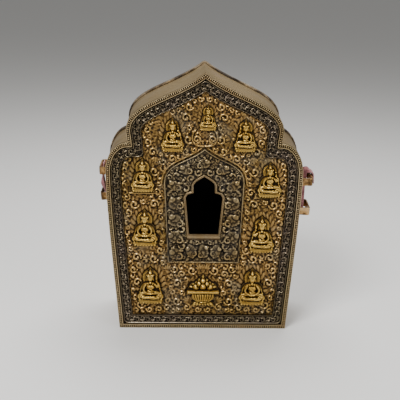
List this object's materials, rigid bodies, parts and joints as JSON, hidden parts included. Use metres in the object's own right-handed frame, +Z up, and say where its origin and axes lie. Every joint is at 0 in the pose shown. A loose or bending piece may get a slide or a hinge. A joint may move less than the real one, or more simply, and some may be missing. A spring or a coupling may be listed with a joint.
{
  "type": "portable altar",
  "caption": "Small travelling shrine box with an ogee outline, a chased front with gilt seated figures around an arched window, and strap loops at the sides.",
  "frame": {"origin": "middle of the underside of the case, halfway along its wall from front to back", "axes": "+Z up the case, +Y towards the back cover, +X to the right as seen from the front"},
  "size_m": [0.1743, 0.0633, 0.2113],
  "materials": {
    "case_brass": "dull handled sheet, grey-brown in the hollows with pink copper and green tints",
    "face_copper": "chased copper-orange sheet, worn bright on the crests and dark in the grooves",
    "border_dark": "pierced sheet, oxidised dark grey-brown, greenish in places",
    "panel_silver": "tarnished silver relief, dark in the grooves",
    "gilt": "worn gilding over copper, bright on the crests",
    "loop_brass": "satin strip, polished by the strap on its edges",
    "sash_cloth": "faded pink woven cloth"
  },
  "bodies": {
    "root": {"case_wall": "case_brass", "back_cover": "case_brass", "face_plate": "face_copper", "rim_cord": "case_brass", "border_strip": "border_dark", "throne_panel": "panel_silver", "window_bezel": "face_copper", "figure_crown": "gilt", "figure_upper_left": "gilt", "figure_upper_right": "gilt", "figure_shoulder_left": "gilt", "figure_shoulder_right": "gilt", "figure_side_left": "gilt", "figure_side_right": "gilt", "figure_foot_left": "gilt", "figure_foot_right": "gilt", "offering_vessel": "gilt", "strap_loop_right_lower": "loop_brass", "strap_loop_right_upper": "loop_brass", "strap_loop_left_lower": "loop_brass", "strap_loop_left_upper": "loop_brass", "sash_right": "sash_cloth", "sash_left": "sash_cloth"}
  },
  "joints": []
}
